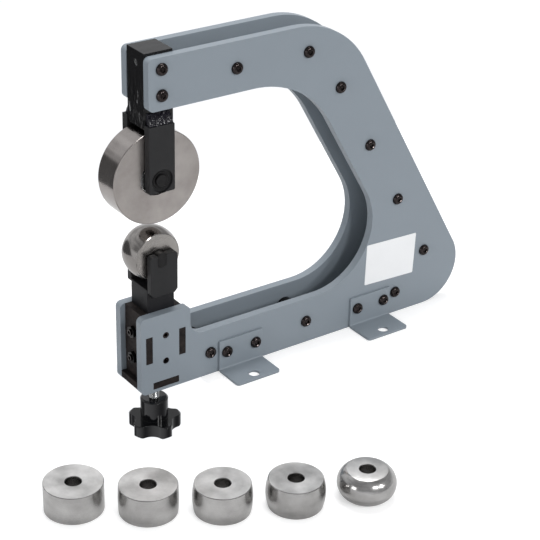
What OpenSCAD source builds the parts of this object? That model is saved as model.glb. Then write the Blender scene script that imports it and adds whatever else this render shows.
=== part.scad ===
// English wheel for a bench: two C-shaped side plates, a steel wheel in a fork on the upper arm,
// a crowned anvil wheel in a cradle that a knob raises from below, and five spare anvil wheels.
// The origin is the middle between the four bench bolts, on the bench, with +X away from the wheels.

/* [Side plates] */
// Thickness of each side plate
plate_t = 10; // [8:0.5:12]
// Clear gap between the side plates
plate_gap = 35; // [30:1:40]
// From the wheels' axis to the back of the throat
throat_depth = 292; // [260:1:330]
// Height of the upper arm
upper_arm_h = 59; // [50:1:70]
// Height of the lower arm
lower_arm_h = 59; // [55:1:62]
// Width of the sloping back, square to its edges
back_w = 72.7; // [60:0.1:85]
// Angle of the sloping back to the bench
back_angle = 60; // [55:1:65]
// Radius of the throat's lower corner
throat_low_r = 78; // [60:1:90]
// Radius of the throat's upper corner
throat_top_r = 122; // [90:1:130]
// Radius of the frame's upper outer corner
outer_top_r = 111; // [80:1:120]
// Radius of the frame's lower outer corner
outer_low_r = 50.5; // [40:0.5:60]
// From the wheels' axis forward to the end of the upper arm
arm_front = 16; // [12:1:22]
// From the wheels' axis forward to the front of the tower
tower_front = 30; // [29:1:36]
// From the wheels' axis back to the rear of the tower
tower_back = 35; // [35:1:42]
// Height of the tower that holds the guide
tower_h = 98; // [92:1:104]
// Radius of the tower's and the arm's corners
corner_r = 6; // [3:0.5:8]
// Radius of the inner corner behind the tower
tower_fillet_r = 18; // [10:1:20]

/* [Frame screws] */
// Diameter of the screws' thread
screw_d = 8; // [6:1:8]
// Diameter of a screw's round head
screw_head_d = 14; // [12:0.5:15]
// Height of a screw's round head
screw_head_h = 4.4; // [3.5:0.1:5]
// Screw length under the head
screw_len = 22; // [18:1:26]
// Width across the flats of the hexagon socket
socket_af = 5; // [4:0.5:5]
// Distance between the two fork screws
fork_screw_pitch = 29; // [24:1:34]
// Distance between the first two screws of the upper arm
arm_screw_pitch = 95; // [80:1:105]
// Distance between the screws on the sloping back
back_screw_pitch = 93.5; // [85:0.5:98]
// Distance between the screws along the lower arm
low_screw_pitch = 135.5; // [120:0.5:140]
// Diameter of the spacers in the back and the lower arm
spacer_d = 24; // [22:1:30]
// Diameter of the spacers in the upper arm
arm_spacer_d = 14; // [12:1:15]

/* [Feet] */
// Length of a foot along the frame
foot_len = 60; // [50:1:70]
// Height of a foot's upright leg
foot_h = 40; // [34:1:45]
// Width of a foot's flange
foot_w = 41; // [38:1:50]
// Sheet thickness of the feet
foot_t = 3; // [2:0.5:4]
// Distance between the feet along the frame
foot_pitch = 190; // [170:1:210]
// From a side plate to the bench bolt's hole
bench_hole_y = 30; // [26:1:32]
// Diameter of the bench bolt's hole
bench_hole_d = 13; // [8:1:14]
// Distance between a foot's two screws
foot_screw_pitch = 40; // [32:1:44]

/* [Upper fork] */
// Width of the fork block along the frame
fork_block_w = 35; // [30:1:38]
// Width of the fork's cheeks
fork_cheek_w = 32; // [30:1:34]
// From the fork's cheeks up to the upper arm, which sets the height of the throat
cheek_clear = 17; // [14:1:60]
// Thickness of the fork's cheeks
fork_cheek_t = 10; // [8:0.5:12]
// From the cheek's lower end to the axle
fork_axle_z = 13.7; // [13:0.1:20]

/* [Upper wheel] */
// Diameter of the upper wheel
wheel_d = 108; // [90:1:109]
// Width of the upper wheel
wheel_w = 33.2; // [28:0.1:34]
// Bore of the anvil wheels and the bearings
bore_d = 17; // [15:1:18]
// Outer diameter of the wheel's ball bearings
bearing_d = 40; // [36:1:46]
// Width of the wheel's ball bearings
bearing_w = 12; // [9:1:13]

/* [Anvil wheels] */
// Diameter of the anvil wheels
anvil_d = 62; // [56:1:63]
// Width of the anvil wheels
anvil_w = 32; // [26:1:33]
// Crown radius of the anvil wheel in the cradle
fitted_crown_r = 38; // [30:1:60]
// Crown radii of the second to fifth spare anvil wheels
spare_crown_r = [200, 75, 50, 18]; // [18:1:300]
// Gap between the two wheels at rest
wheel_gap = 11; // [8:0.5:14]
// Distance between the spare anvil wheels
spare_pitch = 75; // [68:1:90]

/* [Carriage and guide] */
// Width of the square column
column_w = 34.8; // [30:0.1:34.9]
// Length of the square column
column_h = 105; // [100:1:106]
// Thickness of the cradle's cheeks
cradle_t = 8; // [6:0.5:10]
// Height of the cradle's cheeks
cradle_h = 50; // [48:1:54]
// Width of the slots that carry the anvil's axle
slot_w = 11.1; // [10:0.1:13]
// From the wheels' axis to the guide's middle
guide_x = 2.5; // [2:0.1:3]
// Thickness of the guide plates
guide_t = 8.5; // [7:0.5:8.5]
// Height of the guide plates' tabs
guide_tab_h = 34; // [28:1:40]
// Width of the base plate's tabs
base_tab_w = 34; // [26:1:38]
// Distance between the screws that take up the column's play
play_screw_pitch = 33; // [28:1:36]

/* [Adjusting screw and knob] */
// Diameter of the adjusting screw
lift_d = 12; // [10:1:14]
// From the base plate down to the knob
knob_drop = 28; // [26:1:34]
// Diameter of the star knob
knob_d = 63; // [58:1:70]
// Thickness of the star
star_h = 15.5; // [12:0.5:18]
// Diameter of the knob's hub
hub_d = 32.5; // [28:0.5:34]
// Height of the hub above the star
hub_h = 26.5; // [20:0.5:32]
// Number of lobes of the star
lobes = 5; // [5:1:5]

/* [Hidden] */
$fn = 48;
eps = 0.01;
// How far a sloping edge lies inside its corner arc, so that the two cross cleanly
cross = 0.02;
fit = 0.05;
tab_fit = 0.1;

// The stack at rest, from the guide's base plate on the bench up to the frame's top
base_z = 4;
base_top = base_z + guide_t;
column_low = base_top + 9.5;
floor_z = column_low + column_h;
anvil_r = anvil_d / 2;
anvil_z = floor_z + 6.2 + anvil_r;
wheel_r = wheel_d / 2;
wheel_z = anvil_z + anvil_r + wheel_gap + wheel_r;
cheek_low = wheel_z - fork_axle_z;
fork_low = wheel_z + wheel_r + 3.8;
cheek_top = fork_low + 6;
upper_low = cheek_top + cheek_clear;
frame_h = upper_low + upper_arm_h;
fork_top = frame_h + 3;

// The side plates' faces, and the lower arm's upper edge
plate_y = plate_gap / 2;
outer_y = plate_y + plate_t;
lower_top = lower_arm_h;

// The sloping back: distances along its normal from the wheels' axis
nx = sin(back_angle);
nz = cos(back_angle);
low_c = [throat_depth - throat_low_r, lower_top + throat_low_r];
throat_n = low_c[0] * nx + low_c[1] * nz + throat_low_r;
outer_n = throat_n + back_w;
function x_at(n, z) = (n - z * nz) / nx;
top_c = [x_at(throat_n - throat_top_r, upper_low - throat_top_r), upper_low - throat_top_r];
out_top_c = [x_at(outer_n - outer_top_r, frame_h - outer_top_r), frame_h - outer_top_r];
out_low_c = [x_at(outer_n - outer_low_r, outer_low_r), outer_low_r];

// Screw places, measured from the wheels' axis
clear_d = screw_d + 0.4;
low_row_z = 29;
foot_mid_x = 198;
low_row_back = 136;
low_row_x = foot_mid_x - low_row_back;
arm_row_drop = 30.5;
arm_row_z = frame_h - arm_row_drop;
back_row_drop = 81.5;
back_row_in = 31;
arm_row_x = 94;
back_row_z = frame_h - back_row_drop;
back_row = [x_at(throat_n + back_row_in, back_row_z), back_row_z];
fork_screw_z = frame_h - 13;
arm_screws = [for (i = [0, 1]) [arm_row_x + i * arm_screw_pitch, arm_row_z]];
back_screws = [for (i = [0:3]) back_row + i * back_screw_pitch * [nz, -nx]];
low_screws = [for (i = [0:2]) [low_row_x + i * low_screw_pitch, low_row_z]];
fork_screws = [for (i = [0, 1]) [0, fork_screw_z - i * fork_screw_pitch]];
frame_screws = concat(fork_screws, arm_screws, back_screws, low_screws);

// Feet, with their middle at the origin
foot_xs = [foot_mid_x - foot_pitch / 2, foot_mid_x + foot_pitch / 2];
foot_screw_z = 25;
foot_screw_len = foot_t + plate_t;
foot_bend_r = 2;
foot_corner_r = 4;

// Upper fork and wheel
axle_head_d = bore_d + 3;
axle_head_h = 3.5;
axle_recess_d = 26;
axle_recess_h = 4;
axle_tap = 16;
fork_weld_t = 9.5;
fork_weld_h = 14;
block_screw_z = frame_h - 11.5;

// Ball bearings: two, with a land between their outer rings
bearing_gap = 7.2;
bearing_y = bearing_gap / 2;
inner_ring_d = bore_d + 7;
outer_ring_bore = bearing_d - 6;
seal_t = 0.8;
land_d = bearing_d - 5;

// Anvil, cradle and column
slot_r = bore_d / 2 + fit;
axle_ease = 0.03;
anvil_turn = 45;
cradle_rise = 6;
cradle_low = anvil_z + cradle_rise - cradle_h;
column_y = column_w / 2;
cradle_y = column_y + cradle_t;
cradle_weld = 4;
cradle_chamfer = 4;

// Guide
guide_in = plate_gap / 2;
guide_mid_z = 56;
play_zs = [guide_mid_z - 2.5 - play_screw_pitch / 2, guide_mid_z - 2.5 + play_screw_pitch / 2];
play_tip = 0.1;
nut_af = 13;
nut_h = 4;

// Adjusting screw and knob
journal_d = 9;
journal_h = 14;
hub_top = base_z - knob_drop;
star_top = hub_top - hub_h;
stud_in = 20;
lobe_r = 8.5;
valley_r = 14;
star_turn = 54;

// Spare anvil wheels: a slightly bowed row on the bench
row_mid = [-263.5, -243.5];
row_angle = -29;
row_bow = 14;

steel_blue = [0.54, 0.58, 0.62];
black_paint = [0.10, 0.10, 0.11];
black_oxide = [0.07, 0.07, 0.07];
raw_brown = [0.22, 0.18, 0.17];
bright_steel = [0.66, 0.64, 0.61];
zinc = [0.75, 0.76, 0.76];

// Moves a child from the wheels' axis to its place in the frame
module from_axis() {
    translate([-foot_mid_x, 0, 0]) children();
}

// A cylinder along +Y that starts at y
module rod_y(d, y, len) {
    translate([0, y + len, 0]) rotate([90, 0, 0]) cylinder(d = d, h = len);
}

// A flat outline in X and Z, raised into a plate that spans y to y + t
module upright(y, t) {
    translate([0, y + t, 0]) rotate([90, 0, 0]) linear_extrude(t) children();
}

// What a rounded corner takes away from a square one, which lies at the origin
module corner_cut(r) {
    difference() {
        translate([-1, -1]) square(r + 1);
        translate([r, r]) circle(r);
    }
}

// The C's outer shape, from its two outer corners' centres
module c_outer_2d() {
    polygon([
        [-arm_front, 0], [out_low_c[0], 0], out_low_c, out_low_c + (outer_low_r - cross) * [nx, nz],
        out_top_c + (outer_top_r - cross) * [nx, nz], out_top_c, [out_top_c[0], frame_h], [-arm_front, frame_h]
    ]);
    translate(out_low_c) circle(outer_low_r, $fn = 96);
    translate(out_top_c) circle(outer_top_r, $fn = 120);
}

// The open throat, which runs out past the front of the arms
module throat_2d() {
    front = -tower_front - 10;
    polygon([
        [front, lower_top], [low_c[0], lower_top], low_c, low_c + (throat_low_r - cross) * [nx, nz],
        top_c + (throat_top_r - cross) * [nx, nz], top_c, [top_c[0], upper_low], [front, upper_low]
    ]);
    translate(low_c) circle(throat_low_r, $fn = 96);
    translate(top_c) circle(throat_top_r, $fn = 120);
}

// The tower at the front of the lower arm, with its inner corner filled
module tower_2d() {
    difference() {
        translate([-tower_front, 0]) square([tower_front + tower_back, tower_h]);
        translate([-tower_front, 0]) corner_cut(corner_r);
        translate([-tower_front, tower_h]) mirror([0, 1]) corner_cut(corner_r);
        translate([tower_back, tower_h]) rotate(180) corner_cut(corner_r);
    }
    difference() {
        translate([tower_back - 1, lower_top - 1]) square(tower_fillet_r + 1);
        translate([tower_back, lower_top] + tower_fillet_r * [1, 1]) circle(tower_fillet_r);
    }
}

// A side plate's outline with its rounded arm end
module plate_2d() {
    difference() {
        c_outer_2d();
        throat_2d();
        translate([-arm_front, frame_h]) mirror([0, 1]) corner_cut(corner_r);
        translate([-arm_front, upper_low]) corner_cut(corner_r);
    }
    tower_2d();
}

// A side plate from y to y + plate_t, with its screw holes and slots
module side_plate(y, play_holes) {
    difference() {
        upright(y, plate_t) plate_2d();
        for (p = frame_screws) translate([p[0], 0, p[1]]) rod_y(clear_d, y - 1, plate_t + 2);
        for (x = foot_xs, s = [-1, 1])
            translate([x + s * foot_screw_pitch / 2, 0, foot_screw_z]) rod_y(screw_d, y - 1, plate_t + 2);
        if (play_holes)
            for (z = play_zs) translate([guide_x, 0, z]) rod_y(screw_d, y - 1, plate_t + 2);
        for (s = [-1, 1])
            translate([guide_x + s * (guide_in + guide_t / 2), y + plate_t / 2, guide_mid_z])
                cube([guide_t + 2 * tab_fit, plate_t + 2, guide_tab_h + 2 * tab_fit], center = true);
        translate([guide_x, y + plate_t / 2, base_z + guide_t / 2])
            cube([base_tab_w + 2 * tab_fit, plate_t + 2, guide_t + 2 * tab_fit], center = true);
    }
}

module plate_front() {
    color(steel_blue) from_axis() side_plate(-outer_y, true);
}

module plate_back() {
    color(steel_blue) from_axis() side_plate(plate_y, false);
}

// Round bars between the plates, tapped at both ends
module spacer_bars(places, d) {
    for (p = places)
        translate([p[0], 0, p[1]]) difference() {
            rod_y(d, -plate_y, plate_gap);
            rod_y(screw_d, -plate_y - 1, plate_gap + 2);
        }
}

module spacers() {
    color(black_oxide) from_axis() spacer_bars(concat(back_screws, low_screws), spacer_d);
}

module arm_spacers() {
    color(black_oxide) from_axis() spacer_bars(arm_screws, arm_spacer_d);
}

// A button-head screw along +Y, its head's seat at the origin
module button_screw(len) {
    difference() {
        union() {
            rotate([90, 0, 0]) cylinder(d1 = screw_head_d, d2 = screw_head_d * 0.55, h = screw_head_h);
            rod_y(screw_d - 2 * fit, -1, len + 1);
        }
        translate([0, -screw_head_h + 2.6, 0]) rotate([90, 0, 0])
            cylinder(d = socket_af / cos(30), h = screw_head_h, $fn = 6);
    }
}

module screws_front() {
    color(black_oxide) from_axis()
        for (p = frame_screws) translate([p[0], -outer_y, p[1]]) button_screw(screw_len);
}

module screws_back() {
    color(black_oxide) from_axis()
        for (p = frame_screws) translate([p[0], outer_y, p[1]]) mirror([0, 1, 0]) button_screw(screw_len);
}

// A bent sheet foot on the front plate, with its leg's back on y = 0 and its flange on the bench
module foot() {
    difference() {
        rotate([90, 0, 90]) translate([0, 0, -foot_len / 2]) linear_extrude(foot_len) foot_section_2d();
        for (s = [-1, 1]) {
            translate([s * foot_screw_pitch / 2, 0, foot_screw_z]) rod_y(clear_d, -foot_t - 1, foot_t + 2);
            translate([s * foot_len / 2, -foot_w, -1]) mirror([s > 0 ? 1 : 0, 0, 0])
                linear_extrude(foot_t + 2) corner_cut(foot_corner_r);
        }
        translate([0, -bench_hole_y, -1]) cylinder(d = bench_hole_d, h = foot_t + 2);
    }
}

// The foot's bent section: Y to the left, Z up
module foot_section_2d() {
    difference() {
        union() {
            translate([-foot_t, 0]) square([foot_t, foot_h]);
            translate([-foot_w, 0]) square([foot_w, foot_t]);
            translate([-foot_t - foot_bend_r, foot_t]) square(foot_bend_r);
        }
        translate([-foot_t - foot_bend_r, foot_t + foot_bend_r]) circle(foot_bend_r);
        mirror([1, 0]) corner_cut(foot_t + foot_bend_r);
    }
}

module front_foot(x) {
    color(steel_blue) from_axis() translate([x, -outer_y, 0]) foot();
}

module back_foot(x) {
    color(steel_blue) from_axis() translate([x, outer_y, 0]) mirror([0, 1, 0]) foot();
}

module foot_screws() {
    color(black_oxide) from_axis()
        for (x = foot_xs, s = [-1, 1], m = [0, 1])
            mirror([0, m, 0]) translate([x + s * foot_screw_pitch / 2, -outer_y - foot_t, foot_screw_z])
                button_screw(foot_screw_len);
}

// The square block between the upper arm's plates
module fork_block() {
    color(black_paint) from_axis() difference() {
        translate([guide_x - fork_block_w / 2, -plate_y, fork_low])
            cube([fork_block_w, plate_gap, fork_top - fork_low]);
        for (p = fork_screws, m = [0, 1])
            mirror([0, m, 0]) translate([p[0], 0, p[1]]) rod_y(screw_d, -plate_y - 1, screw_len - plate_t + 2);
        translate([guide_x - fork_block_w / 2 - 1, 0, block_screw_z]) rotate([0, 90, 0])
            cylinder(d = screw_d, h = 13);
    }
}

// A cheek of the upper fork, welded flat against the block's side
module fork_cheek(m) {
    mirror([0, m, 0]) difference() {
        upright(-plate_y - fork_cheek_t, fork_cheek_t) difference() {
            translate([-fork_cheek_w / 2, cheek_low]) square([fork_cheek_w, cheek_top - cheek_low]);
            translate([-fork_cheek_w / 2, cheek_low]) corner_cut(2);
            translate([fork_cheek_w / 2, cheek_low]) mirror([1, 0]) corner_cut(2);
        }
        translate([0, 0, wheel_z]) {
            rod_y(bore_d + 2 * fit, -plate_y - fork_cheek_t - 1, fork_cheek_t + 2);
            rod_y(axle_recess_d, -plate_y - fork_cheek_t - 1, axle_recess_h + 1);
        }
    }
}

module fork_cheek_front() {
    color(black_paint) from_axis() fork_cheek(0);
}

module fork_cheek_back() {
    color(black_paint) from_axis() fork_cheek(1);
}

// A full fillet weld along X in the corner at the origin, t wide on the floor and h up the wall
module weld_bead(x1, x2, t, h) {
    translate([x1, 0, 0]) rotate([90, 0, 90]) linear_extrude(x2 - x1) intersection() {
        translate([-t, 0]) square([t, h]);
        translate([-t, h] / 2 + sqrt(3) / 2 * [h, -t]) circle(norm([t, h]));
    }
}

module fork_welds() {
    color(black_paint) from_axis()
        for (m = [0, 1])
            mirror([0, m, 0]) translate([0, -plate_y, cheek_top])
                weld_bead(guide_x - fork_block_w / 2 + 1, fork_cheek_w / 2, fork_weld_t, fork_weld_h);
}

module fork_block_screw() {
    color(zinc) from_axis() translate([guide_x - fork_block_w / 2 + 1, 0, block_screw_z]) rotate([0, 90, 0])
        difference() {
            cylinder(d = screw_d - 2 * fit, h = 10);
            translate([0, 0, -1]) cylinder(d = (socket_af - 1) / cos(30), h = 4.5, $fn = 6);
        }
}

// The upper wheel's axle: a head in the front cheek's recess, a tapped end at the back
module upper_axle() {
    axle_front = -plate_y - fork_cheek_t;
    axle_back = plate_y + fork_cheek_t - axle_recess_h;
    color(black_oxide) from_axis() translate([0, 0, wheel_z]) difference() {
        union() {
            rod_y(bore_d, axle_front + 1, axle_back - axle_front - 1);
            rod_y(axle_head_d, axle_front + axle_recess_h - axle_head_h, axle_head_h);
        }
        rod_y(screw_d, axle_back - axle_tap, axle_tap + 1);
    }
}

module axle_washer() {
    color(black_oxide) from_axis() translate([0, plate_y + fork_cheek_t - axle_recess_h, wheel_z]) difference() {
        rod_y(axle_recess_d - 1, 0, 2);
        rod_y(clear_d, -1, 4);
    }
}

module axle_screw() {
    color(black_oxide) from_axis() translate([0, plate_y + fork_cheek_t - axle_recess_h + 2, wheel_z])
        mirror([0, 1, 0]) button_screw(14);
}

// The upper wheel: flat tread with broken edges, a bearing seat from each side
module upper_wheel() {
    color(bright_steel) from_axis() translate([0, 0, wheel_z]) difference() {
        union() {
            rod_y(wheel_d, -wheel_w / 2 + 0.8, wheel_w - 1.6);
            for (m = [0, 1]) mirror([0, m, 0]) translate([0, -wheel_w / 2 + 0.8, 0]) rotate([90, 0, 0])
                cylinder(d1 = wheel_d, d2 = wheel_d - 1.6, h = 0.8);
        }
        rod_y(land_d, -wheel_w, 2 * wheel_w);
        rod_y(bearing_d, bearing_y, wheel_w);
        rod_y(bearing_d, -bearing_y - wheel_w, wheel_w);
    }
}

// A ring about the wheel's axle, from y to y + len
module ring_y(outer, inner, y, len) {
    difference() {
        rod_y(outer, y, len);
        rod_y(inner, y - 1, len + 2);
    }
}

module bearing_outer_rings() {
    color(bright_steel) from_axis() translate([0, 0, wheel_z])
        for (m = [0, 1]) mirror([0, m, 0]) ring_y(bearing_d, outer_ring_bore, bearing_y, bearing_w);
}

module bearing_inner_rings() {
    color(bright_steel) from_axis() translate([0, 0, wheel_z])
        for (m = [0, 1]) mirror([0, m, 0]) ring_y(inner_ring_d, bore_d + 2 * fit, bearing_y, bearing_w);
}

module bearing_seals() {
    color(black_oxide) from_axis() translate([0, 0, wheel_z])
        for (m = [0, 1], y = [bearing_y + 0.3, bearing_y + bearing_w - seal_t - 0.3])
            mirror([0, m, 0]) ring_y(outer_ring_bore, inner_ring_d + 0.6, y, seal_t);
}

// Sleeves on the axle: one between the inner rings, one against each cheek
module wheel_spacers() {
    side = bearing_y + bearing_w;
    color(bright_steel) from_axis() translate([0, 0, wheel_z]) {
        ring_y(inner_ring_d, bore_d + 2 * fit, -bearing_y, bearing_gap);
        for (m = [0, 1]) mirror([0, m, 0]) ring_y(inner_ring_d, bore_d + 2 * fit, side, plate_y - side);
    }
}

// A guide plate across the gap, with a tab in each side plate's slot
module guide_plate(x) {
    translate([x, -plate_y, base_top]) cube([guide_t, plate_gap, tower_h - base_top]);
    translate([x, -outer_y, guide_mid_z - guide_tab_h / 2]) cube([guide_t, 2 * outer_y, guide_tab_h]);
}

// Two holes through the front guide plate for the bolts that bear on the column
module guide_plate_front() {
    x = guide_x - guide_in - guide_t;
    color(raw_brown) from_axis() difference() {
        guide_plate(x);
        for (z = play_zs) translate([x - 1, 0, z]) rotate([0, 90, 0]) cylinder(d = screw_d, h = guide_t + 2);
    }
}

module guide_plate_rear() {
    color(raw_brown) from_axis() guide_plate(guide_x + guide_in);
}

// The base plate under the guide, tapped for the adjusting screw
module guide_base() {
    color(raw_brown) from_axis() difference() {
        union() {
            translate([-tower_front, -plate_y, base_z]) cube([tower_front + tower_back, plate_gap, guide_t]);
            translate([guide_x - base_tab_w / 2, -outer_y, base_z]) cube([base_tab_w, 2 * outer_y, guide_t]);
        }
        translate([guide_x, 0, base_z - 1]) cylinder(d = lift_d, h = guide_t + 2);
    }
}

// Socket set screws in the front plate, sunk a little, that bear on the column
module play_screws() {
    sunk = 0.6;
    len = outer_y - column_y - play_tip - sunk;
    color(black_oxide) from_axis()
        for (z = play_zs) translate([guide_x, 0, z]) difference() {
            rod_y(screw_d - 2 * fit, -outer_y + sunk, len);
            translate([0, -outer_y + sunk + 4, 0]) rotate([90, 0, 0])
                cylinder(d = (socket_af - 1) / cos(30), h = 6, $fn = 6);
        }
}

// Set screws with lock nuts in the front guide plate
module play_bolts() {
    tip = guide_x - column_y - play_tip;
    color(black_oxide) from_axis()
        for (z = play_zs) translate([tip, 0, z]) rotate([0, -90, 0]) difference() {
            cylinder(d = screw_d - 2 * fit, h = guide_t + nut_h + 2);
            translate([0, 0, guide_t + nut_h - 2]) cylinder(d = (socket_af - 1) / cos(30), h = 6, $fn = 6);
        }
}

module play_nuts() {
    color(black_oxide) from_axis()
        for (z = play_zs) translate([guide_x - guide_in - guide_t, 0, z]) rotate([0, -90, 0]) difference() {
            cylinder(d = nut_af / cos(30), h = nut_h, $fn = 6);
            translate([0, 0, -1]) cylinder(d = screw_d, h = nut_h + 2);
        }
}

// The square column that slides in the guide, with a seat for the screw's journal
module column() {
    color(black_paint) from_axis() difference() {
        translate([guide_x - column_w / 2, -column_y, column_low]) cube([column_w, column_w, column_h]);
        translate([guide_x, 0, column_low - 1]) cylinder(d = journal_d + 2 * fit, h = journal_h + 1.5);
    }
}

// A cradle cheek: chamfered at the foot, with an open saddle for the axle's flat end
module cradle_cheek(m) {
    left = guide_x - column_w / 2;
    right = guide_x + column_w / 2;
    top = cradle_low + cradle_h;
    c = cradle_chamfer;
    mirror([0, m, 0]) upright(-cradle_y, cradle_t) difference() {
        polygon([
            [left, cradle_low + c], [left + c, cradle_low], [right - c, cradle_low],
            [right, cradle_low + c], [right, top - 2], [right - 2, top], [left + 2, top], [left, top - 2]
        ]);
        intersection() {
            translate([0, anvil_z]) circle(slot_r);
            translate([-slot_w / 2, anvil_z - 2 * slot_r]) square([slot_w, 4 * slot_r]);
        }
        translate([-slot_w / 2, anvil_z]) square([slot_w, cradle_h]);
    }
}

module cradle_cheek_front() {
    color(black_paint) from_axis() cradle_cheek(0);
}

module cradle_cheek_back() {
    color(black_paint) from_axis() cradle_cheek(1);
}

module cradle_welds() {
    reach = column_w / 2 - cradle_chamfer;
    color(black_paint) from_axis()
        for (m = [0, 1])
            mirror([0, m, 0]) translate([guide_x, -column_y, cradle_low]) mirror([0, 0, 1])
                weld_bead(-reach, reach, cradle_weld, cradle_weld);
}

// The anvil's axle: round where the wheel turns, flat-sided where it lies in the saddles
module anvil_axle() {
    round_y = column_y - 0.2;
    axle_d = bore_d - 2 * axle_ease;
    color(black_oxide) from_axis() translate([0, 0, anvil_z]) union() {
        rod_y(axle_d, -round_y, 2 * round_y);
        intersection() {
            rod_y(axle_d, -cradle_y, 2 * cradle_y);
            cube([slot_w - 2 * fit, 4 * cradle_y, 2 * bore_d], center = true);
        }
    }
}

// An anvil wheel about +Z, standing on z = 0: a crown of radius r, or a flat tread where r is 0
module anvil_shape(r) {
    rotate_extrude() difference() {
        intersection() {
            square([anvil_r, anvil_w]);
            if (r > 0) translate([anvil_r - r, anvil_w / 2]) circle(r, $fn = 180);
        }
        translate([-1, -1]) square([bore_d / 2 + fit + 1, anvil_w + 2]);
    }
}

module anvil_wheel() {
    color(bright_steel) from_axis() translate([0, anvil_w / 2, anvil_z]) rotate([90, 0, 0])
        rotate(anvil_turn) anvil_shape(fitted_crown_r);
}

// The adjusting screw: stud in the knob, thread in the base plate, journal in the column
module adjusting_screw() {
    color(zinc) from_axis() translate([guide_x, 0, 0]) {
        translate([0, 0, hub_top - stud_in])
            cylinder(d = lift_d - 2 * fit, h = column_low - hub_top + stud_in);
        translate([0, 0, column_low - eps]) cylinder(d = journal_d, h = journal_h + eps);
    }
}

// The star's outline: round lobes joined by hollow arcs that run smoothly into them
module star_2d() {
    lobe_c = knob_d / 2 - lobe_r;
    half = 180 / lobes;
    reach = lobe_r + valley_r;
    valley_c = lobe_c * cos(half) + sqrt(reach * reach - pow(lobe_c * sin(half), 2));
    lobe = [for (i = [0:lobes - 1]) lobe_c * [cos(2 * half * i), sin(2 * half * i)]];
    valley = [for (i = [0:lobes - 1]) valley_c * [cos(2 * half * i + half), sin(2 * half * i + half)]];
    difference() {
        union() {
            polygon([for (i = [0:lobes - 1]) each [lobe[i], valley[i]]]);
            for (p = lobe) translate(p) circle(lobe_r);
        }
        for (p = valley) translate(p) circle(valley_r + cross);
    }
}

// The knob: star below, hub above with a broken edge, blind bore for the stud
module star_knob() {
    chamfer = 2;
    star_low = star_top - star_h;
    color(black_paint) from_axis() translate([guide_x, 0, 0]) difference() {
        union() {
            intersection() {
                translate([0, 0, star_low]) rotate(star_turn) linear_extrude(star_h) star_2d();
                translate([0, 0, star_low]) union() {
                    cylinder(d1 = knob_d - 2 * chamfer, d2 = knob_d + 1, h = chamfer);
                    translate([0, 0, chamfer]) cylinder(d = knob_d + 1, h = star_h - 2 * chamfer);
                    translate([0, 0, star_h - chamfer])
                        cylinder(d1 = knob_d + 1, d2 = knob_d - 2 * chamfer, h = chamfer);
                }
            }
            translate([0, 0, star_top - 1]) cylinder(d = hub_d, h = hub_h + 1 - chamfer);
            translate([0, 0, hub_top - chamfer]) cylinder(d1 = hub_d, d2 = hub_d - 2 * chamfer, h = chamfer);
        }
        translate([0, 0, hub_top - stud_in - 1]) cylinder(d = lift_d, h = stud_in + 2);
    }
}

// A spare anvil wheel standing on its flat side, at its place in the bowed row
module spare_anvil(i, r) {
    along = (i - 2) * spare_pitch;
    bow = row_bow * (1 - pow((i - 2) / 2, 2));
    dir = [cos(row_angle), sin(row_angle)];
    place = row_mid + along * dir + bow * [dir[1], -dir[0]];
    color(bright_steel) translate([place[0], place[1], 0]) anvil_shape(r);
}

plate_front();
plate_back();
spacers();
arm_spacers();
screws_front();
screws_back();
front_foot(foot_xs[0]);  // foot_front_left
front_foot(foot_xs[1]);  // foot_front_right
back_foot(foot_xs[0]);  // foot_back_left
back_foot(foot_xs[1]);  // foot_back_right
foot_screws();
fork_block();
fork_cheek_front();
fork_cheek_back();
fork_welds();
fork_block_screw();
upper_axle();
axle_washer();
axle_screw();
upper_wheel();
bearing_outer_rings();
bearing_inner_rings();
bearing_seals();
wheel_spacers();
guide_plate_front();
guide_plate_rear();
guide_base();
play_screws();
play_bolts();
play_nuts();
column();
cradle_cheek_front();
cradle_cheek_back();
cradle_welds();
anvil_axle();
anvil_wheel();
adjusting_screw();
star_knob();
spare_anvil(0, 0);  // spare_anvil_1
spare_anvil(1, spare_crown_r[0]);  // spare_anvil_2
spare_anvil(2, spare_crown_r[1]);  // spare_anvil_3
spare_anvil(3, spare_crown_r[2]);  // spare_anvil_4
spare_anvil(4, spare_crown_r[3]);  // spare_anvil_5
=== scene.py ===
from math import cos, pi, radians, sin, sqrt

import bmesh
import bpy
from mathutils import Matrix, Vector, noise


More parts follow.
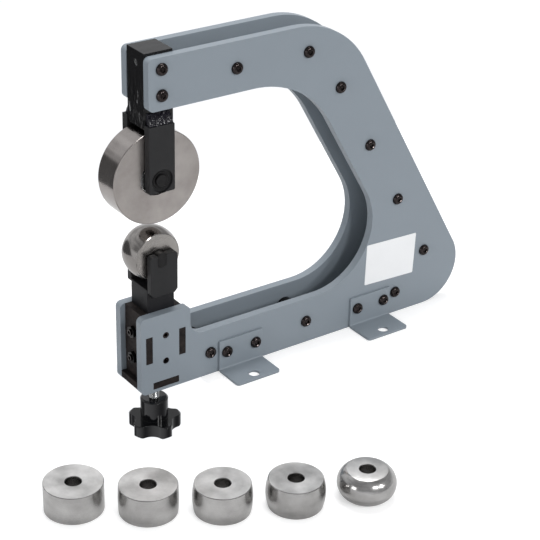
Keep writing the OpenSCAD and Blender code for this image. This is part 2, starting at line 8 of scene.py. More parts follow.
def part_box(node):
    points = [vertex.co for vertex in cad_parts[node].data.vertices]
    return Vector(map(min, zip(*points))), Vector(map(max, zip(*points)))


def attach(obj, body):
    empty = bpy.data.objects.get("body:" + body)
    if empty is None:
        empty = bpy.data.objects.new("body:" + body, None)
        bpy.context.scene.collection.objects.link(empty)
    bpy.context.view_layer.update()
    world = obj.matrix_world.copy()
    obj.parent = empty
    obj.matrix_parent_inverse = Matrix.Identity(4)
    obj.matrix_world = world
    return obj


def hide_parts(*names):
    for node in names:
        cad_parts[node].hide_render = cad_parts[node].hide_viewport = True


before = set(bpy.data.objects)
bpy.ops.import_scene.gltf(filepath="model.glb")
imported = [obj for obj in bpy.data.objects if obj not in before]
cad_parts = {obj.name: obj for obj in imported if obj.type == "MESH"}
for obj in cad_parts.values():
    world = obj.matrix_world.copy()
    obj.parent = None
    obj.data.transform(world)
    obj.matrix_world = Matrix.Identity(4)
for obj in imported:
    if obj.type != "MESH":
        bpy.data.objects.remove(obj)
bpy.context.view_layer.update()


# The two side plates are 10 mm steel, cut to a C with their outer edges rounded over, and coated in
# a satin blue-grey paint. Their rounded edges need a mesh of their own, eased from the CAD shape.
class Value:
    """A shader socket. Arithmetic on it adds Math nodes, or Vector Math and Mix for vectors and colours."""

    def __init__(self, tree, socket):
        self.tree = tree
        self.socket = socket

    def make(self, kind, settings, sockets, out=0):
        node = self.tree.nodes.new(kind)
        for key, setting in settings.items():
            if key == "stops":
                while len(node.color_ramp.elements) < len(setting):
                    node.color_ramp.elements.new(0.5)
                for element, (position, level) in zip(node.color_ramp.elements, setting):
                    element.position = position
                    element.color = (level, level, level, 1)
            else:
                setattr(node, key, setting)
        for key, given in sockets.items():
            if isinstance(given, Value):
                self.tree.links.new(given.socket, node.inputs[key])
            else:
                node.inputs[key].default_value = given
        return Value(self.tree, node.outputs[out])

    def reckon(self, operation, first, second):
        if self.socket.type == "VECTOR":
            first, second = [v if isinstance(v, (Value, tuple)) else (v, v, v) for v in (first, second)]
            return self.make("ShaderNodeVectorMath", {"operation": operation}, {0: first, 1: second})
        return self.make("ShaderNodeMath", {"operation": operation}, {0: first, 1: second})

    def __add__(self, other):
        return self.reckon("ADD", self, other)

    def __sub__(self, other):
        return self.reckon("SUBTRACT", self, other)

    def __mul__(self, other):
        return self.reckon("MULTIPLY", self, other)

    def __pow__(self, other):
        return self.reckon("POWER", self, other)

    def __rsub__(self, other):
        return self.reckon("SUBTRACT", other, self)

    __radd__ = __add__
    __rmul__ = __mul__

    def noise(self, scale, detail=2.0, roughness=0.5):
        """Soft noise from 0 to 1 at a scale of features per metre."""
        settings = {"Vector": self, "Scale": scale, "Detail": detail, "Roughness": roughness}
        return self.make("ShaderNodeTexNoise", {}, settings)

    def ramp(self, *stops):
        """A straight ramp through stops of (this value, new value)."""
        return self.make("ShaderNodeValToRGB", {"stops": stops}, {"Fac": self})

    def between(self, low, high):
        """Mixes two colours by this factor."""
        low, high = [v if isinstance(v, Value) else (*v, 1) for v in (low, high)]
        return self.make("ShaderNodeMix", {"data_type": "RGBA"}, {0: self, 6: low, 7: high}, out=2)

    def toward(self, x, y, z):
        """How far this direction points towards another one, from 0 to 1."""
        vectors = {0: self, 1: (x, y, z)}
        along = self.make("ShaderNodeVectorMath", {"operation": "DOT_PRODUCT"}, vectors, out=1)
        return along.reckon("MAXIMUM", along, 0)

    def split(self):
        """This vector's x, y and z."""
        node = self.tree.nodes.new("ShaderNodeSeparateXYZ")
        self.tree.links.new(self.socket, node.inputs[0])
        return [Value(self.tree, output) for output in node.outputs]


def linear(red, green, blue):
    """A colour read off a screen, 0 to 255, as the shader's numbers."""
    levels = [c / 255 for c in (red, green, blue)]
    return tuple(((c + 0.055) / 1.055) ** 2.4 if c > 0.04 else c / 12.92 for c in levels)


def new_finish(name, **fixed):
    """A new material: the material, its main shader and the place on the object in metres."""
    material = bpy.data.materials.new(name)
    material.use_nodes = True
    tree = material.node_tree
    shader = tree.nodes["Principled BSDF"]
    for key, level in fixed.items():
        shader.inputs[key.replace("_", " ")].default_value = level
    place = Value(tree, tree.nodes.new("ShaderNodeTexCoord").outputs["Object"])
    return material, shader, place


def feed(shader, **values):
    """Links each value to the shader's socket of that name."""
    for key, value in values.items():
        value.tree.links.new(value.socket, shader.inputs[key.replace("_", " ")])


def relief(shader, height, depth):
    """Raises the surface by the height, 0 to 1, times a depth in metres."""
    bump = height.make("ShaderNodeBump", {}, {"Strength": 1.0, "Distance": depth, "Height": height})
    feed(shader, Normal=bump)


def add_piece(name, shape, material, body, nodes=(), sharp=None):
    """Puts a finished bmesh in the scene, riding on its body and standing for its CAD nodes."""
    mesh = bpy.data.meshes.new(name)
    bmesh.ops.recalc_face_normals(shape, faces=shape.faces)
    shape.to_mesh(mesh)
    shape.free()
    mesh.polygons.foreach_set("use_smooth", [True] * len(mesh.polygons))
    if sharp:
        mesh.set_sharp_from_angle(angle=radians(sharp))
    mesh.materials.append(material)
    piece = bpy.data.objects.new(name, mesh)
    bpy.context.scene.collection.objects.link(piece)
    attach(piece, body)
    if nodes:
        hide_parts(*nodes)
    return piece


SAME_POINT = 3e-6


def eased(node, width, material, body, steps=3):
    """Copies a node's shape, rounds its sharp edges over and lets the copy stand for the node."""
    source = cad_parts[node].data
    shape = bmesh.new()
    points = [shape.verts.new(v.co) for v in source.vertices]
    for face in source.polygons:
        corners = [points[i] for i in face.vertices]
        if len(set(corners)) > 2 and not shape.faces.get(corners):
            shape.faces.new(corners)
    bmesh.ops.remove_doubles(shape, verts=shape.verts, dist=SAME_POINT)
    bmesh.ops.dissolve_limit(shape, angle_limit=radians(0.8), verts=shape.verts, edges=shape.edges)
    edges = [e for e in shape.edges if len(e.link_faces) == 2 and e.calc_face_angle() > radians(32)]
    bevel = {"segments": steps, "profile": 0.5, "affect": "EDGES", "clamp_overlap": True}
    bmesh.ops.bevel(shape, geom=edges, offset=width, **bevel)
    piece = add_piece(node + "_eased", shape, material, body, [node])
    crisp = piece.modifiers.new("crisp", "WEIGHTED_NORMAL")
    crisp.weight = 100
    return piece


PAINT = linear(133, 142, 150)
frame_paint, shader, place = new_finish("blue_grey_paint", Coat_Roughness=0.25)
tone = place.noise(7, detail=3)
peel = place.noise(420, detail=2)
feed(shader, Base_Color=tone.between([c * 0.96 for c in PAINT], [c * 1.04 for c in PAINT]))
feed(shader, Roughness=0.4 + 0.12 * place.noise(60, detail=3))
relief(shader, peel, 0.00005)
for node in ("plate_front", "plate_back"):
    eased(node, 0.0018, frame_paint, "frame", steps=4)


# A plain satin-white plate, 0.3 mm thick with rounded corners, stuck on the front side plate.
# It hangs about two degrees out of line with the bench.
LABEL = [(0.0880, 0.1050), (0.1636, 0.1024), (0.1616, 0.0488), (0.0868, 0.0516)]
LABEL_FACE = -0.0278
LABEL_T = 0.0003
LABEL_CORNER = 0.0015
shape = bmesh.new()
rim = []
for i, corner in enumerate(LABEL):
    corner = Vector(corner)
    before = Vector(LABEL[i - 1]) - corner
    after = Vector(LABEL[(i + 1) % 4]) - corner
    for t in (0, 0.15, 0.5, 0.85, 1):
        start = corner + before.normalized() * LABEL_CORNER
        end = corner + after.normalized() * LABEL_CORNER
        rim.append(start * (1 - t) ** 2 + corner * 2 * t * (1 - t) + end * t ** 2)
front = shape.faces.new([shape.verts.new((x, LABEL_FACE, z)) for x, z in rim])
back = bmesh.ops.extrude_face_region(shape, geom=[front])["geom"]
back = [v for v in back if isinstance(v, bmesh.types.BMVert)]
bmesh.ops.translate(shape, verts=back, vec=(0, LABEL_T, 0))
label_white, shader, place = new_finish("label_white", Coat_Weight=0.2)
feed(shader, Base_Color=place.noise(30).between((0.83, 0.84, 0.85), (0.88, 0.89, 0.9)))
feed(shader, Roughness=0.35 + 0.1 * place.noise(90))
add_piece("label_plate", shape, label_white, "frame", sharp=40)


# Round spacer bars hold the side plates apart: nine turned steel bars, blackened, tapped at both
# ends and clamped between the plates by the screws.
def turned(shape, profile, place, axis="Y", steps=96, closed=True):
    """Turns a profile of (radius, length) points about an axis through place."""
    rings = []
    for radius, along in profile:
        ring = []
        for i in range(steps):
            a = 2 * pi * i / steps
            flat = (radius * cos(a), radius * sin(a))
            point = (flat[0], along, flat[1]) if axis == "Y" else (flat[0], flat[1], along)
            ring.append(shape.verts.new(Vector(point) + Vector(place)))
        rings.append(ring)
    pairs = list(zip(rings, rings[1:])) + ([(rings[-1], rings[0])] if closed else [])
    for one, two in pairs:
        for i in range(steps):
            j = (i + 1) % steps
            shape.faces.new((one[i], one[j], two[j], two[i]))
    if not closed:
        shape.faces.new(rings[0])
        shape.faces.new(rings[-1])


def solids(node):
    """The middle of each separate solid of a CAD node, from left to right."""
    shape = bmesh.new()
    shape.from_mesh(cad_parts[node].data)
    bmesh.ops.remove_doubles(shape, verts=shape.verts, dist=SAME_POINT)
    waiting = set(shape.verts)
    middles = []
    while waiting:
        found = [waiting.pop()]
        for vert in found:
            near = {edge.other_vert(vert) for edge in vert.link_edges} & waiting
            waiting -= near
            found.extend(near)
        spans = [[vert.co[i] for vert in found] for i in range(3)]
        middles.append(tuple((min(span) + max(span)) / 2 for span in spans))
    shape.free()
    return sorted(middles)


black_steel, shader, place = new_finish("black_oxide", Metallic=1.0, Specular_IOR_Level=0.5)
feed(shader, Base_Color=place.noise(120, detail=3).between((0.012, 0.012, 0.013), (0.03, 0.029, 0.029)))
feed(shader, Roughness=0.24 + 0.16 * place.noise(500, detail=3))
relief(shader, place.noise(1500), 0.00002)
HALF_GAP = 0.0175
TAP_R = 0.004
BAR_EDGE = 0.0006
for node, radius in (("spacers", 0.012), ("arm_spacers", 0.007)):
    shape = bmesh.new()
    for x, y, z in solids(node):
        bar = [(TAP_R, -HALF_GAP), (radius - BAR_EDGE, -HALF_GAP), (radius, BAR_EDGE - HALF_GAP)]
        turned(shape, bar + [(r, -along) for r, along in reversed(bar)], (x, 0, z), steps=64)
    add_piece(node + "_turned", shape, black_steel, "frame", [node], sharp=35)


# Button-head socket screws, 8 mm, blackened: eleven through each side plate into the fork block and
# the spacers, and eight through the feet into the plates.
HEAD_R = 0.007
HEAD_H = 0.0044
RIM_EDGE = 0.0003
RIM_H = 0.0007
DOME_TOP_R = 0.0037
SHANK_R = 0.00395
SHANK_END = 0.0008
SOCKET_R = 0.0025
SOCKET_FLARE = 0.0008
SOCKET_FLARE_H = 0.00056
SOCKET_H = 0.0026
SOCKET_TIP_R = 0.0015
SOCKET_TIP_H = 0.0032


def button_screw(shape, place, out, length):
    """A button head with its flared hexagon socket. out is -1 where the head looks to the front."""
    steps = 48

    def hexagon(angle):
        return SOCKET_R / cos((angle + pi / 6) % (pi / 3) - pi / 6)

    profile = [(SHANK_R * 0.8, -length), (SHANK_R, SHANK_END - length), (SHANK_R, 0)]
    profile += [(HEAD_R - RIM_EDGE, 0), (HEAD_R, RIM_EDGE), (HEAD_R, RIM_H)]
    for i in range(1, 9):
        turn = radians(90) * i / 8
        r = DOME_TOP_R + (HEAD_R - DOME_TOP_R) * cos(turn)
        profile.append((r, RIM_H + (HEAD_H - RIM_H) * sin(turn)))
    rings = [[(r, along) for i in range(steps)] for r, along in profile]
    socket = [(SOCKET_FLARE, 0), (0, SOCKET_FLARE_H), (0, SOCKET_H), (-SOCKET_TIP_R, SOCKET_TIP_H)]
    for grow, deep in socket:
        rings.append([(hexagon(2 * pi * i / steps) + grow, HEAD_H - deep) for i in range(steps)])
    loops = []
    for ring in rings:
        loop = []
        for i, (r, along) in enumerate(ring):
            a = 2 * pi * i / steps
            point = (place[0] + r * cos(a), place[1] + out * along, place[2] + r * sin(a))
            loop.append(shape.verts.new(point))
        loops.append(loop)
    for one, two in zip(loops, loops[1:]):
        for i in range(steps):
            j = (i + 1) % steps
            shape.faces.new((one[i], one[j], two[j], two[i]))
    shape.faces.new(loops[0])
    shape.faces.new(loops[-1])


screw_black, shader, place = new_finish("screw_black", Metallic=1.0)
feed(shader, Base_Color=place.noise(300, detail=3).between((0.025, 0.021, 0.021), (0.055, 0.046, 0.045)))
feed(shader, Roughness=0.05 + 0.06 * place.noise(900, detail=2))
relief(shader, place.noise(2500), 0.00001)
OUTER_FACE = 0.0275
FOOT_T = 0.003
SCREW_LENGTH = 0.022
FOOT_SCREW_LENGTH = 0.013
for node, out in (("screws_front", -1), ("screws_back", 1)):
    shape = bmesh.new()
    for x, y, z in solids(node):
        button_screw(shape, (x, out * OUTER_FACE, z), out, SCREW_LENGTH)
    add_piece(node + "_heads", shape, screw_black, "frame", [node], sharp=30)
shape = bmesh.new()
for x, y, z in solids("foot_screws"):
    out = 1 if y > 0 else -1
    button_screw(shape, (x, out * (OUTER_FACE + FOOT_T), z), out, FOOT_SCREW_LENGTH)
add_piece("foot_screw_heads", shape, screw_black, "frame", ["foot_screws"], sharp=30)


# Four feet bent from 3 mm sheet and painted with the frame. Each has a leg screwed to a side plate
# and a flange with one hole for the bench bolt.
for node in ("foot_front_left", "foot_front_right", "foot_back_left", "foot_back_right"):
    eased(node, 0.0005, frame_paint, "frame", steps=2)


# The upper fork: a square steel block between the arm's plates with two cheeks welded to its sides.
# The block's thick gloss black paint lies flat at the top and in runs lower down. The cheeks are
# satin black.
BLOCK_TOP = 0.403
fork_paint, shader, place = new_finish("fork_black_paint", Specular_IOR_Level=0.24)
feed(shader, Base_Color=place.noise(40, detail=3).between((0.002, 0.002, 0.0025), (0.004, 0.004, 0.0048)))
feed(shader, Roughness=0.07 + 0.12 * place.noise(90, detail=4))
below_top = (BLOCK_TOP - place.split()[2]) * 10
waves = below_top.ramp((0.2, 0.04), (0.55, 1))
runs = (place * (1.0, 1.0, 0.5)).noise(120, detail=1).ramp((0.4, 0), (0.6, 1))
relief(shader, runs * waves, 0.0007)
eased("fork_block", 0.0008, fork_paint, "frame")
cheek_paint, shader, place = new_finish("cheek_black_paint", Specular_IOR_Level=0.25)
feed(shader, Base_Color=place.noise(60, detail=3).between((0.013, 0.013, 0.014), (0.021, 0.021, 0.022)))
feed(shader, Roughness=0.45 + 0.14 * place.noise(140, detail=4))
relief(shader, place.noise(700, detail=3), 0.00007)
for node in ("fork_cheek_front", "fork_cheek_back"):
    eased(node, 0.0009, cheek_paint, "frame")


# The weld beads between the fork's cheeks and block: one heavy run over each cheek's top end, laid
# in overlapping puddles and painted over. A second pair of runs joins the cradle's cheeks below.
WELD_FADE = 0.0012


def weld_run(shape, start, end, wide, tall, across, up, pitch, seed):
    """A rippled fillet from start to end, wide along the direction across and tall along up."""
    start, end, across, up = Vector(start), Vector(end), Vector(across), Vector(up)
    run = (end - start).length
    rows = int(run / pitch * 8)
    arcs = 16
    grid = []
    for i in range(rows + 1):
        along = run * i / rows
        fade = min(1, along / WELD_FADE, (run - along) / WELD_FADE)
        corner = start.lerp(end, i / rows)
        loop = [shape.verts.new(corner)]
        for j in range(arcs + 1):
            t = j / arcs
            bulge = 0.5 * t * (1 - t)
            puddle = (along / pitch + 1.1 * t * (1 - t) + 0.4 * noise.noise((along * 300, seed, t))) % 1
            lump = noise.noise(Vector((along * 260, t * 3.1, seed)))
            size = 0.88 + 0.1 * sqrt(abs(sin(pi * puddle))) + 0.16 * lump
            size = min(size, 1) * (0.6 + 0.4 * sqrt(max(fade, 0)))
            side = across * wide * (1 - t + bulge * tall / (wide + tall))
            rise = up * tall * (t + bulge * wide / (wide + tall))
            loop.append(shape.verts.new(corner + (side + rise) * size))
        grid.append(loop)
    for one, two in zip(grid, grid[1:]):
        for j in range(len(one)):
            k = (j + 1) % len(one)
            shape.faces.new((one[j], one[k], two[k], two[j]))
    shape.faces.new(grid[0])
    shape.faces.new(grid[-1])


weld_paint, shader, place = new_finish("weld_black_paint", Specular_IOR_Level=0.1, Coat_Roughness=0.06)
feed(shader, Base_Color=place.noise(150, detail=3).between((0.004, 0.004, 0.006), (0.014, 0.013, 0.02)))
feed(shader, Roughness=0.2 + 0.15 * place.noise(400, detail=3))
CHEEK_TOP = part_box("fork_cheek_front")[1][2]
FORK_RUN = (-0.212, -0.182)
FORK_WELD = (0.0092, 0.0136)
CRADLE_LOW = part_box("cradle_cheek_front")[0][2]
CRADLE_RUN = (-0.2085, -0.1825)
CRADLE_WELD = (0.0038, 0.0038)
COLUMN_HALF = 0.0174
foot = ((place.split()[2] - CHEEK_TOP) * 100).ramp((0.2, 1), (0.9, 0.2))
feed(shader, Coat_Weight=place.noise(420, detail=2).ramp((0.4, 0.1), (0.52, 1)) * foot)
relief(shader, place.noise(650, detail=3), 0.0011)
shape = bmesh.new()
for side in (-1, 1):
    start, end = [(x, side * HALF_GAP, CHEEK_TOP) for x in FORK_RUN]
    weld_run(shape, start, end, *FORK_WELD, (0, side, 0), (0, 0, 1), 0.0036, side)
add_piece("fork_weld_runs", shape, weld_paint, "frame", ["fork_welds"])
shape = bmesh.new()
for side in (-1, 1):
    start, end = [(x, side * COLUMN_HALF, CRADLE_LOW) for x in CRADLE_RUN]
    weld_run(shape, start, end, *CRADLE_WELD, (0, side, 0), (0, 0, -1), 0.0028, side + 5)
add_piece("cradle_weld_runs", shape, weld_paint, "carriage", ["cradle_welds"])


# A small zinc-plated set screw in the fork block's end, screwed in nearly flush.
zinc, shader, place = new_finish("zinc_plate", Metallic=1.0)
feed(shader, Base_Color=place.noise(200, detail=2).between((0.45, 0.46, 0.48), (0.62, 0.62, 0.6)))
feed(shader, Roughness=0.2 + 0.15 * place.noise(700, detail=2))
eased("fork_block_screw", 0.0002, zinc, "frame", steps=1)


# The upper wheel's axle: a blackened pin with a round head, sunk in the front cheek, held by a
# washer and a button screw at the back.
AXLE = (-0.198, 0, 0.2602)
PIN_R = 0.0085
PIN_END = 0.0235
FLANGE_R = 0.01
FLANGE_FACE = -0.0245
BOSS_R = 0.0072
BOSS_FACE = -0.027
TAP_END = 0.008
WASHER_R = 0.0125
WASHER_BORE_R = 0.0042
WASHER_FACE = 0.0255
WASHER_EDGE = 0.0004
axle_black, shader, place = new_finish("axle_black", Metallic=0.85)
feed(shader, Base_Color=place.noise(200, detail=3).between((0.012, 0.012, 0.013), (0.03, 0.029, 0.029)))
feed(shader, Roughness=0.34 + 0.16 * place.noise(600, detail=3))
relief(shader, place.noise(1200, detail=2), 0.00003)
shape = bmesh.new()
pin = [(TAP_R, PIN_END), (PIN_R - 0.0006, PIN_END), (PIN_R, PIN_END - 0.0006), (PIN_R, -PIN_END)]
pin += [(FLANGE_R, -PIN_END), (FLANGE_R, FLANGE_FACE + 0.0003), (FLANGE_R - 0.0003, FLANGE_FACE)]
pin += [(BOSS_R, FLANGE_FACE), (BOSS_R, BOSS_FACE + 0.0007), (BOSS_R - 0.0006, BOSS_FACE)]
pin += [(0.0001, BOSS_FACE), (0.0001, TAP_END), (TAP_R, TAP_END)]
turned(shape, pin, AXLE)
add_piece("upper_axle_pin", shape, axle_black, "frame", ["upper_axle"], sharp=35)
shape = bmesh.new()
washer = [(WASHER_BORE_R, PIN_END), (WASHER_R - 0.0006, PIN_END), (WASHER_R, PIN_END + 0.0006)]
washer += [(WASHER_R, WASHER_FACE - WASHER_EDGE), (WASHER_R - WASHER_EDGE, WASHER_FACE)]
washer += [(WASHER_BORE_R, WASHER_FACE)]
turned(shape, washer, AXLE)
add_piece("axle_washer_disc", shape, axle_black, "frame", ["axle_washer"], sharp=35)
shape = bmesh.new()
button_screw(shape, (AXLE[0], WASHER_FACE, AXLE[2]), 1, 0.014)
add_piece("axle_screw_head", shape, screw_black, "frame", ["axle_screw"], sharp=30)


# The upper wheel: solid steel, turned and faced to a satin finish with fine rings. Its tread is flat and
# brighter, with broken edges, though its colour is painted darker than the faces' as painted shade. A ball
# bearing sits in each side.
RINGS_PER_METRE = 2600
RING_DEPTH = 0.000012


def turned_steel(name, centre, axis, low, high, face_rough, tread_rough):
    """Bright turned steel: rings about the axis, cloudy stains, a tread glossier than the faces, and
    painted shade that darkens the tread's colour.
    """
    material, shader, place = new_finish(name, Metallic=1.0)
    x, y, z = (place - tuple(centre)).split()
    across = (x * x + (z * z if axis == "Y" else y * y)) ** 0.5
    along = y if axis == "Y" else z
    across_rings = {"X": across * RINGS_PER_METRE, "Y": along * RINGS_PER_METRE}
    groove = across.make("ShaderNodeCombineXYZ", {}, across_rings)
    ring = groove.noise(1.0, detail=2)
    stain = place.noise(34, detail=4, roughness=0.55).ramp((0.28, 0), (0.72, 1))
    normals = place.tree.nodes.new("ShaderNodeTexCoord").outputs["Normal"]
    normal = Value(place.tree, normals).split()["XYZ".index(axis)]
    face = (normal * normal).ramp((0.85, 0), (0.95, 1))
    # Painted shade: the colour is darker on the tread than on the faces, which dims the tread's reflection.
    feed(shader, Base_Color=((0.3 * ring + 0.7 * stain) * (0.6 + 0.4 * face)).between(low, high))
    feed(shader, Roughness=tread_rough + (face_rough - tread_rough) * face + 0.08 * stain + 0.06 * ring)
    relief(shader, ring, RING_DEPTH)
    return material


WHEEL_R = 0.054
WHEEL_HALF = 0.0166
BEARING_R = 0.02
SEAT_END = 0.0036
WHEEL_COLOURS = ((0.28, 0.256, 0.243), (0.465, 0.434, 0.417))
wheel_steel = turned_steel("wheel_steel", AXLE, "Y", *WHEEL_COLOURS, 0.3, 0.08)
shape = bmesh.new()
half = [(WHEEL_R, 0), (WHEEL_R, WHEEL_HALF - 0.0008), (WHEEL_R - 0.0002, WHEEL_HALF - 0.0003)]
half += [(WHEEL_R - 0.0008, WHEEL_HALF), (BEARING_R + 0.0005, WHEEL_HALF), (BEARING_R, WHEEL_HALF - 0.0005)]
half += [(BEARING_R, SEAT_END), (0.0175, SEAT_END)]
turned(shape, half + [(r, -along) for r, along in reversed(half[1:])], AXLE, steps=192)
add_piece("upper_wheel_turned", shape, wheel_steel, "upper_wheel", ["upper_wheel"], sharp=15)
BEARING_COLOURS = ((0.55, 0.55, 0.55), (0.75, 0.75, 0.75))
bearing_steel = turned_steel("bearing_steel", AXLE, "Y", *BEARING_COLOURS, 0.2, 0.12)
eased("bearing_outer_rings", 0.0005, bearing_steel, "upper_wheel", steps=2)
eased("bearing_inner_rings", 0.0003, bearing_steel, "frame", steps=2)
eased("wheel_spacers", 0.0003, bearing_steel, "frame", steps=2)
seal_rubber, shader, place = new_finish("seal_rubber")
feed(shader, Base_Color=place.noise(300).between((0.015, 0.015, 0.015), (0.03, 0.03, 0.03)))
feed(shader, Roughness=0.6 + 0.2 * place.noise(900))
relief(shader, place.noise(1800), 0.00003)
eased("bearing_seals", 0.0002, seal_rubber, "upper_wheel", steps=2)


# The guide in the tower: two cross plates and a base plate of hot-rolled steel, left in their dark brown
# scale and painted darker still as painted shade for the shadow between the side plates. Their tabs pass
# through slots in both side plates and end flush with them.
scale_brown_and_shade, shader, place = new_finish("mill_scale_and_painted_shade", Specular_IOR_Level=0.15)
patch = place.noise(130, detail=5, roughness=0.65)
# Painted shade: both browns are darker than the bare scale, standing for the shade in the tower between the
# side plates.
feed(shader, Base_Color=patch.ramp((0.3, 0), (0.7, 1)).between(linear(22, 19, 20), linear(48, 42, 40)))
feed(shader, Roughness=0.5 + 0.25 * place.noise(300, detail=3), Metallic=0.25 * patch)
relief(shader, place.noise(900, detail=4), 0.0001)
for node in ("guide_plate_front", "guide_plate_rear", "guide_base"):
    eased(node, 0.0003, scale_brown_and_shade, "frame", steps=2)


# Two socket set screws in the front side plate, and two threaded bolts with thin lock nuts in the
# front guide plate, take up the column's play.
for node in ("play_screws", "play_bolts"):
    eased(node, 0.0002, screw_black, "frame", steps=1)
eased("play_nuts", 0.0004, black_steel, "frame", steps=2)


# The carriage: a square column that slides in the guide, with two cheeks welded to its upper end
# as a cradle. It is painted satin black and scuffed in patches.
column_paint, shader, place = new_finish("column_black_paint", Specular_IOR_Level=0.2)
wear = place.noise(150, detail=5, roughness=0.7).ramp((0.62, 0), (0.72, 1))
feed(shader, Base_Color=wear.between((0.009, 0.009, 0.0105), (0.04, 0.037, 0.036)))
feed(shader, Roughness=0.36 + 0.2 * place.noise(110, detail=4))
relief(shader, 0.7 * place.noise(140, detail=3) + 0.3 * place.noise(800, detail=2), 0.0002)
eased("column", 0.0007, column_paint, "carriage")
for node in ("cradle_cheek_front", "cradle_cheek_back"):
    eased(node, 0.0009, cheek_paint, "carriage")
eased("anvil_axle", 0.0006, axle_black, "carriage")


# The anvil wheels: bar steel turned to 62 mm with a 17 mm bore. One with a strong crown lies in the
# cradle; the spares stand on the bench, from a flat tread to a nearly round one. The crowns are
# polished, the faces left as turned.
ANVIL_R = 0.031
ANVIL_W = 0.032
BORE_R = 0.00855
ANVIL_EDGE = 0.0006


def anvil_profile(crown):
    """Half a section of an anvil wheel from one face to the other, as (radius, length)."""
    half = ANVIL_W / 2

    def tread(along):
        return ANVIL_R if crown == 0 else ANVIL_R - crown + sqrt(crown ** 2 - (along - half) ** 2)

    steps = 36
    edge = ANVIL_EDGE
    line = [(BORE_R, edge), (BORE_R + edge, 0), (tread(0) - edge, 0)]
    for i in range(steps + 1):
        along = edge + (ANVIL_W - 2 * edge) * i / steps
        line.append((tread(along), along))
    return line + [(tread(0) - edge, ANVIL_W), (BORE_R + edge, ANVIL_W), (BORE_R, ANVIL_W - edge)]


ANVIL = (-0.198, 0, 0.1642)
FITTED_CROWN = 0.038
ANVIL_COLOURS = ((0.22, 0.208, 0.2), (0.4, 0.38, 0.36))
polished = turned_steel("anvil_polished", ANVIL, "Y", *ANVIL_COLOURS, 0.2, 0.07)
shape = bmesh.new()
turned(shape, anvil_profile(FITTED_CROWN), (ANVIL[0], -ANVIL_W / 2, ANVIL[2]), steps=144)
add_piece("anvil_wheel_turned", shape, polished, "anvil", ["anvil_wheel"], sharp=25)
SPARE_CROWNS = [0, 0.2, 0.075, 0.05, 0.018]
SPARE_COLOURS = ((0.27, 0.264, 0.258), (0.77, 0.76, 0.75))
for i, crown in enumerate(SPARE_CROWNS):
    node = f"spare_anvil_{i + 1}"
    low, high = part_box(node)
    middle = ((low[0] + high[0]) / 2, (low[1] + high[1]) / 2, low[2])
    steel = turned_steel(f"spare_steel_{i + 1}", middle, "Z", *SPARE_COLOURS, 0.32, 0.14)
    shape = bmesh.new()
    turned(shape, anvil_profile(crown), middle, axis="Z", steps=144)
    add_piece(node + "_turned", shape, steel, f"spare_{i + 1}", [node], sharp=25)


# The adjusting screw: a zinc-plated 12 mm stud with 1.75 mm thread through the base plate. Its
# smooth journal turns in the column, and its lower end is pressed into the knob.
def threaded_rod(shape, place, radius, depth, pitch, low, high, steps=36):
    """A real right-hand helical thread about +Z from low to high, tapered at both ends."""
    rows = int((high - low) / pitch * 8)
    loops = []
    for i in range(rows + 1):
        z = low + (high - low) * i / rows
        loop = []
        for j in range(steps):
            a = 2 * pi * j / steps
            phase = (z / pitch - a / (2 * pi)) % 1
            groove = max(0, min(1, 2.6 * abs(phase - 0.5) - 0.15))
            taper = min(1, (z - low) / depth, (high - z) / depth)
            r = min(radius - depth * groove, radius - depth * (1 - max(taper, 0)))
            loop.append(shape.verts.new((place[0] + r * cos(a), place[1] + r * sin(a), place[2] + z)))
        loops.append(loop)
    for one, two in zip(loops, loops[1:]):
        for j in range(steps):
            k = (j + 1) % steps
            shape.faces.new((one[j], one[k], two[k], two[j]))
    shape.faces.new(loops[0])
    shape.faces.new(loops[-1])


SCREW = (-0.1955, 0, 0)
THREAD_R = 0.00595
THREAD_DEPTH = 0.0009
THREAD_PITCH = 0.00175
THREAD_SPAN = (-0.044, 0.022)
JOURNAL = [(0.0045, 0.0215), (0.0045, 0.0354), (0.0039, 0.036)]
shape = bmesh.new()
threaded_rod(shape, SCREW, THREAD_R, THREAD_DEPTH, THREAD_PITCH, *THREAD_SPAN)
turned(shape, JOURNAL, SCREW, axis="Z", steps=48, closed=False)
add_piece("adjusting_screw_thread", shape, zinc, "lift_screw", ["adjusting_screw"], sharp=60)


# The star knob: a five-lobed handle moulded in gloss black plastic, with its hub above the star.
knob_black, shader, place = new_finish("knob_plastic", Specular_IOR_Level=0.5)
feed(shader, Base_Color=place.noise(90).between((0.002, 0.002, 0.003), (0.004, 0.004, 0.005)))
feed(shader, Roughness=0.05 + 0.1 * place.noise(160, detail=3))
relief(shader, place.noise(160, detail=2), 0.0001)
eased("star_knob", 0.001, knob_black, "lift_screw")


# The setting: a white bench top with a notch that the knob hangs through, plain studio light, and
# the camera at the photograph's place.
bench_white = bpy.data.materials.new("bench_white")
bench_white.use_nodes = True
tree = bench_white.node_tree
shader = tree.nodes["Principled BSDF"]
shader.inputs["Base Color"].default_value = (0.65, 0.65, 0.65, 1)
shader.inputs["Roughness"].default_value = 0.9
shader.inputs["Specular IOR Level"].default_value = 0.1
path = tree.nodes.new("ShaderNodeLightPath")
seen = Value(tree, path.outputs["Is Camera Ray"])
mirrored = Value(tree, path.outputs["Is Glossy Ray"]) + Value(tree, path.outputs["Is Transmission Ray"])
shader.inputs["Emission Color"].default_value = (1, 1, 1, 1)
feed(shader, Emission_Strength=0.5 * seen + 0.12 * mirrored)
NOTCH_X = (-0.290, -0.150)
NOTCH_Y = (-0.140, 0.050)
BENCH_Z = -0.0001
shape = bmesh.new()
columns = [-1.0, *NOTCH_X, 0.9]
rows = [-0.9, *NOTCH_Y, 0.45]
for i in range(3):
    for j in range(3):
        if (i, j) != (1, 1):
            left, right = columns[i:i + 2]
            near, far = rows[j:j + 2]
            corners = [(left, near), (right, near), (right, far), (left, far)]
            shape.faces.new([shape.verts.new((x, y, BENCH_Z)) for x, y in corners])
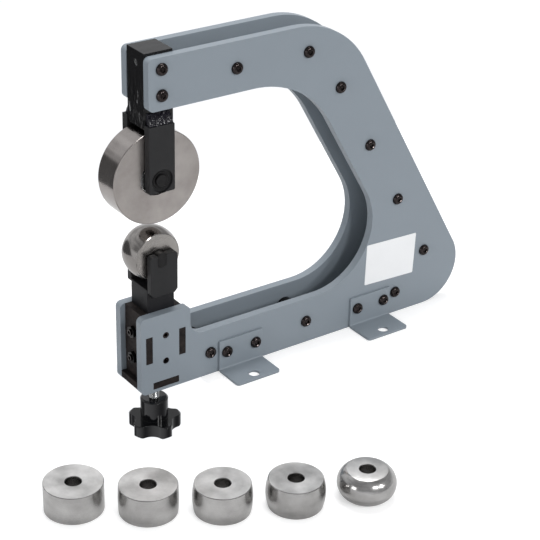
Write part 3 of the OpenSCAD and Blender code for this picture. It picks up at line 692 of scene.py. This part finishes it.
mesh = bpy.data.meshes.new("bench")
shape.to_mesh(mesh)
shape.free()
mesh.materials.append(bench_white)
bench = bpy.data.objects.new("bench", mesh)
bpy.context.scene.collection.objects.link(bench)


MIDDLE = (-0.05, 0, 0.2)


def softbox(name, place, size, power):
    """A rectangular lamp that faces the middle of the machine."""
    light = bpy.data.lights.new(name, "AREA")
    light.shape = "RECTANGLE"
    light.size, light.size_y = size
    light.energy = power
    lamp = bpy.data.objects.new(name, light)
    lamp.location = place
    lamp.rotation_euler = (Vector(MIDDLE) - Vector(place)).to_track_quat("-Z", "Y").to_euler()
    bpy.context.scene.collection.objects.link(lamp)


softbox("key", (-0.1, -3.3, 2.2), (0.55, 0.55), 34)
softbox("side", (-3.0, -0.4, 1.0), (0.8, 0.8), 10)
softbox("fill", (1.2, -3.0, 1.8), (0.55, 0.55), 29.5)
softbox("overhead", (0.4, 0.6, 3.0), (1.6, 1.2), 50)

world = bpy.data.worlds.new("studio")
bpy.context.scene.world = world
world.use_nodes = True
tree = world.node_tree
look = Value(tree, tree.nodes.new("ShaderNodeTexCoord").outputs["Generated"])
# The room is brightest high behind the machine, with darker panels. Below the horizon it is light,
# but for the floor in front and a black flag behind, which darkens a band of the upper wheel's tread.
wall = look.toward(0.0, 0.79, 0.61) ** 3
panels = (look * (1.0, 1.0, 5.0)).noise(2.4, detail=1).ramp((0.42, 0.62), (0.56, 1))
room = (0.5 + 0.65 * wall) * panels
horizon = look.toward(0, 0, 1).ramp((0.12, 1), (0.24, 0))
front = look.toward(0.516, -0.72, -0.46) ** 2
flag = look.toward(-0.56, 0.78, -0.28).ramp((0.865, 0), (0.895, 1))
around = tree.nodes["Background"]
around.inputs["Color"].default_value = (0.97, 0.98, 1.0, 1)
strength = (room * (1 - horizon) + (1.05 - 0.85 * front) * horizon) * (1 - 0.86 * flag)
seen = Value(tree, tree.nodes.new("ShaderNodeLightPath").outputs["Is Camera Ray"])
tree.links.new((1.05 * seen + strength * (1 - seen)).socket, around.inputs["Strength"])

bpy.context.scene.view_settings.view_transform = "Standard"
FOCAL_PIXELS = 1670
PHOTO_PIXELS = 540
lens = bpy.data.cameras.new("camera")
lens.sensor_width = 36
lens.lens = FOCAL_PIXELS / PHOTO_PIXELS * lens.sensor_width
camera = bpy.data.objects.new("camera", lens)
CAMERA_PLACE = (-1.0469, -1.4128, 1.0045)
right = Vector((0.819, -0.5733, 0.021)).normalized()
ahead = Vector((0.516, 0.7202, -0.4637)).normalized()
upward = right.cross(ahead).normalized()
right = ahead.cross(upward)
turn = Matrix((right, upward, -ahead)).transposed().to_4x4()
camera.matrix_world = Matrix.Translation(CAMERA_PLACE) @ turn
bpy.context.scene.collection.objects.link(camera)
bpy.context.scene.camera = camera
